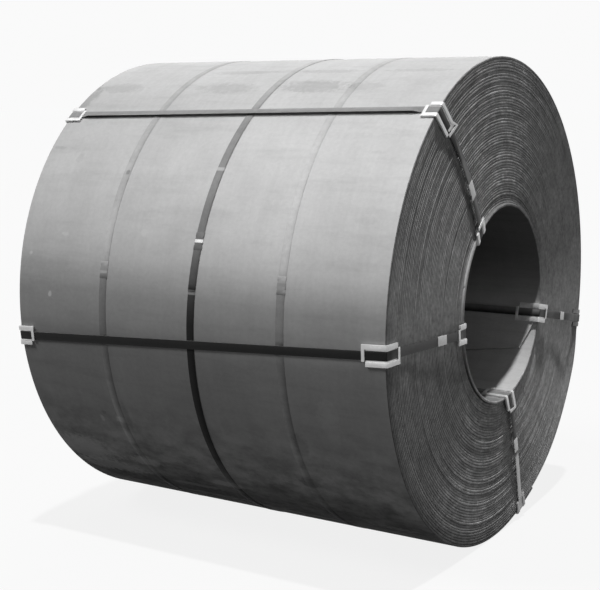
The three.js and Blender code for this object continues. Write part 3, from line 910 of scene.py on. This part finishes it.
def body_strap_paint(name, colour, scale, dust_and_sheen, bands):
    """A body strap: its paint, dusted over towards the tone of the strip that it lies on, with bands across
    it; on the middle strap's upper part the dusting is partly a painted sheen.
    """
    recipe = Recipe(name)
    rub = strap_rub(recipe)
    # Dusted towards the strip's tone; on the middle strap's upper part this is partly a painted sheen.
    tone = recipe.blend(recipe.ramp(recipe.down_from_top, *dust_and_sheen), colour, scale_tone(recipe, scale))
    tone = recipe.shade(tone, recipe.spread(rub, 0.35, 0.7, 0.94, 1.08))
    marks = [(recipe.band_across(degrees, half), mark, shine) for degrees, half, mark, shine in bands]
    tone, metal = recipe.marked(tone, marks)
    recipe.set(
        Base_Color=tone,
        Metallic=metal,
        Specular_IOR_Level=0.003,
        Roughness=recipe.spread(rub, *MIDDLING, 0.5, 0.6),
        Normal=recipe.bump(rub, distance=0.0003, strength=0.3),
    )
    return recipe.material


def body_strap_finish(name, finish):
    """The strap's own finish, which its seal shares. It is made the first time that a piece asks for it."""
    paint = f"body_strap_{name}_paint"
    made = bpy.data.materials.get(paint)
    return made or body_strap_paint(
        paint, finish.black_strap, finish.mill_scale, **BODY_STRAP_FINISHES[name])


def galvanised_sheet(name, colour, shine=0.35):
    """Galvanised sheet: pale, dull and lightly spangled."""
    recipe = Recipe(name)
    spangle = recipe.add("ShaderNodeTexVoronoi")
    recipe.feed_named(spangle, Vector=recipe.from_axis, Scale=110)
    tone = recipe.noise(recipe.from_axis, scale=25, detail=3)
    recipe.set(
        Base_Color=recipe.shade(
            colour,
            recipe.spread(spangle.outputs["Color"], 0.0, 1.0, 0.94, 1.04),
            recipe.spread(tone, *MIDDLING, 0.9, 1.04),
        ),
        Metallic=shine,
        Roughness=recipe.spread(tone, *MIDDLING, 0.35, 0.5),
        Normal=recipe.bump(tone, distance=0.0004, strength=0.4),
    )
    return recipe.material


def plain_shader(tree, kind, **sockets):
    node = tree.nodes.new(kind)
    for name, value in sockets.items():
        node.inputs[name].default_value = value
    return node.outputs[0]


def mix_shaders(tree, share, first, second):
    """The first shader where the share is 0, and the second where it is 1."""
    mix = tree.nodes.new("ShaderNodeMixShader")
    if isinstance(share, bpy.types.NodeSocket):
        tree.links.new(share, mix.inputs["Fac"])
    else:
        mix.inputs["Fac"].default_value = share
    tree.links.new(first, mix.inputs[1])
    tree.links.new(second, mix.inputs[2])
    return mix.outputs[0]


def seen_ray(tree):
    """1 for what the camera sees, straight, in a reflection or through glass."""
    path = tree.nodes.new("ShaderNodeLightPath")
    total = path.outputs["Is Camera Ray"]
    for name in ("Is Glossy Ray", "Is Transmission Ray"):
        most = tree.nodes.new("ShaderNodeMath")
        most.operation = "MAXIMUM"
        tree.links.new(total, most.inputs[0])
        tree.links.new(path.outputs[name], most.inputs[1])
        total = most.outputs[0]
    return total


def pale_floor(colour):
    """White where the lamps reach it, and shaded under the coil."""
    material = bpy.data.materials.new("pale_floor")
    material.use_nodes = True
    tree = material.node_tree
    tree.nodes.remove(tree.nodes["Principled BSDF"])
    on_floor = AMBIENT + sum(
        strength * Vector(comes_from).normalized().z for comes_from, strength, _width in LAMPS.values())
    lit_share = (1 - FLOOR_GLOW_SHARE) * colour[0] * on_floor
    lit = plain_shader(tree, "ShaderNodeBsdfDiffuse", Color=colour)
    glow = plain_shader(tree, "ShaderNodeEmission", Strength=(FLOOR_WHITE - lit_share) / FLOOR_GLOW_SHARE)
    dim = plain_shader(tree, "ShaderNodeBsdfDiffuse", Color=FLOOR_DIM)
    shown = mix_shaders(tree, FLOOR_GLOW_SHARE, lit, glow)
    surface = mix_shaders(tree, seen_ray(tree), dim, shown)
    tree.links.new(surface, tree.nodes["Material Output"].inputs["Surface"])
    return material


# ---- The coil ---------------------------------------------------------------------------------------------

class STEELCOIL_OT_wind_coil(bpy.types.Operator):
    """Winds the strip: one section for each turn, spun round the axis and joined into one spiral"""
    bl_idname = "steelcoil.wind_coil"
    bl_label = "Wind the coil"

    def execute(self, context):
        sizes = context.scene.steelcoil_sizes
        finish = context.scene.steelcoil_finish
        pitch = (OUTER_RADIUS - sizes.bore_radius) / sizes.turns
        coil = self.lay_out_sections(sizes, pitch)
        self.spin_once(coil)
        self.wind(coil, sizes, pitch)
        self.join_turns(coil)
        for cut in HEAD_CUTS:
            self.cut_head(coil, sizes, cut)
        take_place(
            coil, "coil", "hot_rolled_strip", SHARP_FROM,
            mill_scale(finish.mill_scale), mill_edge(finish.strip_edge))
        normals = np.empty(len(coil.data.polygons) * 3)
        coil.data.polygons.foreach_get("normal", normals)
        on_end = np.abs(normals.reshape(-1, 3)[:, 0]) > END_NORMAL
        coil.data.polygons.foreach_set("material_index", on_end.astype(np.int32))
        return {"FINISHED"}

    def lay_out_sections(self, sizes, pitch):
        """Sections of the strip side by side, from the bore outwards along +Y."""
        deselect_all()
        thickness = pitch - sizes.turn_gap
        first = (AXIS.x, AXIS.y + sizes.bore_radius + thickness / 2, AXIS.z)
        bpy.ops.mesh.primitive_plane_add(size=1, location=first)
        bpy.context.active_object.scale = (STRIP_WIDTH, thickness, 1)
        coil = finish_primitive("wound_coil")
        edit_all(coil)
        bpy.ops.mesh.bevel(offset=sizes.edge_rounding, affect="VERTICES", segments=1)
        set_mode("OBJECT")
        apply_modifier(
            coil, "ARRAY", count=sizes.turns, use_relative_offset=False,
            use_constant_offset=True, constant_offset_displace=(0, pitch, 0))
        return coil

    def spin_once(self, coil):
        """Spins the sections almost once round, so that their two ends stay apart until they are joined."""
        edit_all(coil)
        bpy.ops.mesh.spin(steps=STEPS_ROUND, angle=ALMOST_ROUND, center=AXIS, axis=(-1, 0, 0))
        set_mode("OBJECT")

    def wind(self, coil, sizes, pitch):
        """Turns the rings into one spiral that climbs over its own ends, and lets the turns' edges stray."""
        points = read_points(coil)
        angle = np.arctan2(points[:, 2], points[:, 1])
        angle[angle < (ALMOST_ROUND - 2 * math.pi) / 2] += 2 * math.pi
        share = np.clip(angle / ALMOST_ROUND, 0, 1)
        radius = radius_of(points)
        turn = np.floor((radius - sizes.bore_radius) / pitch + TURN_SLACK)
        turn = np.clip(turn, 0, sizes.turns - 1)
        wound = turn + share
        outwards = turn / (sizes.turns - 1)
        climb_end = CLIMB_END_INSIDE + (CLIMB_END_OUTSIDE - CLIMB_END_INSIDE) * outwards
        climb = np.clip(share * 360 / (climb_end - TAIL_END), 0, 1)
        radius += pitch * (climb - 1)
        direction = math.radians(TAIL_END) + share * 2 * math.pi
        front, back = self.stray(sizes, wound, np.mod(np.degrees(direction), 360))
        side = np.where(points[:, 0] > 0, front, back)
        loose = np.clip((wound - sizes.turns) / LOOSE_TURNS + 1, 0, 1)
        radius += loose * looseness(np.degrees(direction), points[:, 0])
        points[:, 0] += side
        points[:, 1] = radius * np.cos(direction)
        points[:, 2] = radius * np.sin(direction)
        write_points(coil, points)
        coil.data.attributes.new("wound", "FLOAT", "POINT").data.foreach_set("value", wound)

    def stray(self, sizes, wound, degrees):
        """How far each turn's front and back edges lie from their place: never further out than the solid."""
        seeded = random.Random(EDGE_SEED)
        edges = []
        for _side in range(2):
            slow = np.array([seeded.random() for _ in range(sizes.turns + 3)])
            quick = np.array([seeded.random() for _ in range(4 * sizes.turns + 6)])
            edges.append(sum(
                share * smooth_walk(knots, wound * pace + start)
                for knots, (pace, start, share) in ((slow, SLOW_WALK), (quick, QUICK_WALK))))
        crept = np.interp(wound, *zip(*CREEP))
        whole = np.clip(CREPT_OUT_WHOLE - wound, 0, 1)
        calm = np.interp(degrees, *zip(*CALM_EDGES))
        front = STAGGER_OUT - sizes.stagger * (edges[0] * calm + 0.5 * (1 - calm))
        back = sizes.stagger * edges[1] - STAGGER_OUT
        return front * (1 - whole) + crept, back * (1 - whole) + crept * whole

    def read_wound(self, coil):
        """How many turns from the start each corner of the coil lies."""
        wound = np.empty(len(coil.data.vertices))
        coil.data.attributes["wound"].data.foreach_get("value", wound)
        return wound

    def join_turns(self, coil):
        """Opens the sections' ends, cuts off what lies before the head end, and closes head and tail."""
        edit_none(coil, "FACE")
        bpy.ops.mesh.select_face_by_sides(number=4, type="GREATER")
        bpy.ops.mesh.delete(type="FACE")
        set_mode("OBJECT")
        edit_chosen(coil, "VERT", self.read_wound(coil) < HEAD_END)
        bpy.ops.mesh.delete(type="VERT")
        bpy.ops.mesh.select_all(action="SELECT")
        bpy.ops.mesh.remove_doubles(threshold=JOIN_DISTANCE)
        bpy.ops.mesh.fill_holes(sides=SECTION_CORNERS)
        bpy.ops.mesh.select_all(action="SELECT")
        bpy.ops.mesh.normals_make_consistent(inside=False)
        set_mode("OBJECT")

    def cut_head(self, coil, sizes, cut):
        """Cuts one corner off the head end, so that it is left as a tongue."""
        near, far = (
            Vector((across, sizes.bore_radius * math.cos(angle), sizes.bore_radius * math.sin(angle)))
            for across, angle in ((across, math.radians(degrees)) for across, degrees in cut))
        outwards = Vector((0, near.y + far.y, near.z + far.z))
        at_head = self.read_wound(coil) < (cut[1][1] + HEAD_CUT_REACH - TAIL_END) / 360
        faces = [bool(at_head[list(face.vertices)].all()) for face in coil.data.polygons]
        edit_chosen(coil, "FACE", faces)
        bpy.ops.mesh.bisect(
            plane_co=AXIS + near, plane_no=math.copysign(1, near.x) * outwards.cross(far - near),
            use_fill=True, clear_outer=True)
        set_mode("OBJECT")


# ---- Straps -----------------------------------------------------------------------------------------------

class STEELCOIL_OT_body_straps(bpy.types.Operator):
    """Cuts the three body straps to length, wraps them round the coil and gives them their thickness"""
    bl_idname = "steelcoil.body_straps"
    bl_label = "Wrap the body straps"

    def execute(self, context):
        sizes = context.scene.steelcoil_sizes
        finish = context.scene.steelcoil_finish
        for name, strap in BODY_STRAPS.items():
            deselect_all()
            bpy.ops.mesh.primitive_grid_add(x_subdivisions=BODY_STRAP_STEPS, y_subdivisions=2, size=1)
            band = finish_primitive(f"wrapped_strap_{name}")
            black = strap["slot"] == "black_strap"
            thickness = sizes.strap_thickness if black else sizes.thin_strap
            self.wrap(band, strap, sizes, thickness)
            apply_modifier(band, "SOLIDIFY", thickness=thickness, offset=1)
            apply_modifier(
                band, "BEVEL", width=thickness * BODY_STRAP_ROUNDING, segments=1, limit_method="ANGLE")
            take_place(
                band, f"body_strap_{name}", strap["slot"], BODY_STRAP_SHARP_FROM,
                body_strap_finish(name, finish))
        return {"FINISHED"}

    def wrap(self, band, strap, sizes, thickness):
        """Lays the flat band round the coil, and lets its last end climb over its first."""
        start, end = strap["lap"]
        flat = read_points(band, origin=(0, 0, 0))
        degrees = start + (flat[:, 0] + 0.5) * (360 + end - start)
        climbed = (degrees - (start + 360 - LAP_RISE_START)) / (LAP_RISE_START - LAP_RISE_END)
        layer = thickness + SEAT_GAP
        radius = OUTER_RADIUS + SEAT_GAP / 2 + np.clip(climbed, 0, 1) * layer
        lean = strap["lean"] * np.cos(np.radians(degrees - LEAN_CREST))
        place = strap["place"] + lean + flat[:, 1] * sizes.strap_width
        radius += looseness(degrees, place)
        angle = np.radians(degrees)
        write_points(band, np.column_stack((place, radius * np.cos(angle), radius * np.sin(angle))))


class STEELCOIL_OT_eye_straps(bpy.types.Operator):
    """Finishes the four straps that run through the bore"""
    bl_idname = "steelcoil.eye_straps"
    bl_label = "Finish the eye straps"

    def execute(self, context):
        sizes = context.scene.steelcoil_sizes
        finish = context.scene.steelcoil_finish
        for name in EYE_STRAPS:
            strap = copy_solid(f"eye_strap_{name}", f"strap_through_bore_{name}")
            if name == "upper":
                self.twist(strap, sizes)
            if name == "far":
                cut_long_edges(strap, read_points(strap)[:, 0] > HALF_WIDTH, FAR_STRAP_CUTS)
                bulge_out(strap)
            round_edges(strap, EYE_STRAP_ROUNDING)
            paint = strap_paint(
                f"eye_strap_{name}_paint", finish.black_strap, DUST_AND_SHEEN_GREY, EYE_STRAP_FRONT_MARKS_AND_HIGHLIGHT[name])
            take_place(strap, f"eye_strap_{name}", "black_strap", SHARP_FROM, paint)
        return {"FINISHED"}

    def twist(self, strap, sizes):
        """Between its protectors the strap lies on its upper edge, and its lower edge stands off the coil."""
        cut_long_edges(strap, radius_of(read_points(strap)) > OUTER_RADIUS, UPPER_STRAP_CUTS)
        back, front = UPPER_STRAP_ANGLES
        points = read_points(strap)
        along = np.clip(points[:, 0] / STRIP_WIDTH + 0.5, 0, 1)
        angle = np.radians(back + (front - back) * along)
        height = points[:, 1] * np.cos(angle) + points[:, 2] * np.sin(angle)
        side = points[:, 2] * np.cos(angle) - points[:, 1] * np.sin(angle)
        room = np.minimum(points[:, 0] - UPPER_STRAP_FREE[0], UPPER_STRAP_FREE[1] - points[:, 0])
        twist = math.radians(UPPER_STRAP_TWIST) * ease(np.clip(room / UPPER_STRAP_EASE, 0, 1))
        twist[height < OUTER_RADIUS] = 0
        out = side + sizes.strap_width / 2
        height += out * np.sin(twist)
        side = np.where(twist > 0, out * np.cos(twist) - sizes.strap_width / 2, side)
        points[:, 1] = height * np.cos(angle) - side * np.sin(angle)
        points[:, 2] = height * np.sin(angle) + side * np.cos(angle)
        write_points(strap, points)


class STEELCOIL_OT_sheet_pieces(bpy.types.Operator):
    """Finishes the crimped seals and the corner protectors"""
    bl_idname = "steelcoil.sheet_pieces"
    bl_label = "Finish seals and protectors"

    def execute(self, context):
        sizes = context.scene.steelcoil_sizes
        for node, material in self.finishes(context.scene.steelcoil_finish).items():
            piece = copy_solid(node, f"{node}_sheet")
            if node == "protector_upper_outer_front":
                self.flare(piece)
            if node in PRESSED_FLAT:
                self.press_flat(piece, PRESSED_FLAT[node])
            if node == "protector_far_outer_front":
                self.press_back(piece)
            if node == "eye_strap_far_seal":
                self.shorten(piece)
                bulge_out(piece)
            round_edges(piece, sizes.sheet_edge)
            take_place(piece, node, "galvanised_sheet", SHARP_FROM, material)
        return {"FINISHED"}

    def finishes(self, finish):
        """The material of each seal and protector, by its node."""
        sheet = galvanised_sheet("protector_sheet", finish.galvanised)
        seal = galvanised_sheet("seal_sheet", DULL_SEAL)
        finishes = {f"body_strap_{name}_seal": body_strap_finish(name, finish) for name in BODY_STRAPS}
        finishes.update({f"eye_strap_{name}_seal": seal for name in EYE_STRAPS})
        finishes.update({f"protector_{name}_{rim}": sheet for name in EYE_STRAPS for rim in RIMS})
        # The far outer front protector is dark all over.
        finishes["protector_far_outer_front"] = galvanised_sheet("dark_sheet", DARK_SHEET, shine=0.0)
        finishes["protector_bottom_outer_front"] = galvanised_sheet("dull_sheet", DULL_SHEET)
        return finishes

    def press_flat(self, piece, share):
        """Beats what lies on the round surface down on it."""
        points = read_points(piece)
        radius = radius_of(points)
        pressed = OUTER_RADIUS + (radius - OUTER_RADIUS) * share
        points[:, 1:] *= (np.where(radius > OUTER_RADIUS, pressed, radius) / radius)[:, None]
        write_points(piece, points)

    def press_back(self, piece):
        """Beats what stands off the front down on it."""
        points = read_points(piece)
        face = HALF_WIDTH + STAGGER_OUT
        pressed = face + (points[:, 0] - face) * PRESSED_BACK
        points[:, 0] = np.where(points[:, 0] > face, pressed, points[:, 0])
        write_points(piece, points)

    def shorten(self, piece):
        """Draws the far seal's ends in, along its strap."""
        points = read_points(piece)
        radius = radius_of(points)
        middle = (radius.min() + radius.max()) / 2
        points[:, 1:] *= ((middle + (radius - middle) * FAR_SEAL_LENGTH) / radius)[:, None]
        write_points(piece, points)

    def flare(self, piece):
        """One rail's corner is bent outwards, where its tongue starts."""
        angle = math.radians(UPPER_STRAP_ANGLES[1])
        outwards = Vector((0, math.cos(angle), math.sin(angle)))
        sideways = Vector((0, -math.sin(angle), math.cos(angle)))
        end = min((v.co - AXIS).dot(outwards) for v in piece.data.vertices)
        edit_all(piece)
        bpy.ops.mesh.bisect(plane_co=AXIS + outwards * (end + FLARE_BEND), plane_no=outwards)
        set_mode("OBJECT")
        for vertex in piece.data.vertices:
            place = vertex.co - AXIS
            if place.dot(outwards) < end + FLARE_END and place.dot(sideways) < FLARE_SIDE:
                vertex.co += sideways * FLARE_SIDEWAYS + Vector((FLARE_FORWARDS, 0, 0))
        piece.data.update()


# ---- The stage --------------------------------------------------------------------------------------------

class STEELCOIL_OT_stage(bpy.types.Operator):
    """Lays the pale floor, and sets the lamps, the white surroundings and the camera"""
    bl_idname = "steelcoil.stage"
    bl_label = "Set the stage"

    def execute(self, context):
        deselect_all()
        bpy.ops.mesh.primitive_plane_add(size=FLOOR_SIZE, location=(0, 0, 0))
        floor = finish_primitive("floor")
        floor.data.materials.append(pale_floor(context.scene.steelcoil_finish.floor))
        for name, lamp in LAMPS.items():
            self.hang_lamp(name, *lamp)
        self.surround(context.scene)
        self.place_camera(context.scene)
        context.scene.view_settings.view_transform = "Standard"
        return {"FINISHED"}

    def hang_lamp(self, name, comes_from, strength, softness):
        bpy.ops.object.light_add(type="SUN", location=comes_from)
        lamp = bpy.context.active_object
        lamp.name = name
        lamp.rotation_euler = Vector(comes_from).to_track_quat("Z", "Y").to_euler()
        lamp.data.energy = strength * math.pi
        lamp.data.angle = math.radians(softness)

    def surround(self, scene):
        """White where it is seen, and a dim even light elsewhere."""
        world = bpy.data.worlds.new("pale_surroundings")
        scene.world = world
        world.use_nodes = True
        tree = world.node_tree
        tree.nodes.clear()
        seen = plain_shader(tree, "ShaderNodeBackground", Color=WHITE, Strength=FLOOR_WHITE)
        dim = plain_shader(tree, "ShaderNodeBackground", Color=WHITE, Strength=AMBIENT)
        output = tree.nodes.new("ShaderNodeOutputWorld")
        tree.links.new(mix_shaders(tree, seen_ray(tree), dim, seen), output.inputs["Surface"])

    def place_camera(self, scene):
        about_x, about_z = (math.radians(turn) for turn in CAMERA_TURNS)
        bpy.ops.object.camera_add(location=AXIS + CAMERA_FROM_AXIS, rotation=(about_x, 0, about_z))
        camera = bpy.context.active_object
        camera.name = "camera"
        camera.data.sensor_width = CAMERA_SENSOR
        camera.data.lens = CAMERA_LENS
        camera.data.clip_end = CAMERA_REACH
        scene.camera = camera


class STEELCOIL_PT_panel(bpy.types.Panel):
    """Lists the coil's steps"""
    bl_idname = "STEELCOIL_PT_panel"
    bl_label = "Steel coil"
    bl_space_type = "VIEW_3D"
    bl_region_type = "UI"
    bl_category = "Steel coil"

    def draw(self, context):
        for group in (context.scene.steelcoil_sizes, context.scene.steelcoil_finish):
            box = self.layout.box()
            for name in group.__annotations__:
                box.prop(group, name)
        for step in STEPS:
            self.layout.operator(step.bl_idname)


STEPS = (
    STEELCOIL_OT_wind_coil,
    STEELCOIL_OT_body_straps,
    STEELCOIL_OT_eye_straps,
    STEELCOIL_OT_sheet_pieces,
    STEELCOIL_OT_stage,
)
CLASSES = (SteelCoilSizes, SteelCoilFinish, *STEPS, STEELCOIL_PT_panel)


def register():
    for kind in CLASSES:
        bpy.utils.register_class(kind)
    bpy.types.Scene.steelcoil_sizes = PointerProperty(type=SteelCoilSizes)
    bpy.types.Scene.steelcoil_finish = PointerProperty(type=SteelCoilFinish)


def unregister():
    del bpy.types.Scene.steelcoil_finish
    del bpy.types.Scene.steelcoil_sizes
    for kind in reversed(CLASSES):
        bpy.utils.unregister_class(kind)


def main():
    register()
    bpy.ops.steelcoil.wind_coil()
    bpy.ops.steelcoil.body_straps()
    bpy.ops.steelcoil.eye_straps()
    bpy.ops.steelcoil.sheet_pieces()
    bpy.ops.steelcoil.stage()


if __name__ == "__main__":
    main()
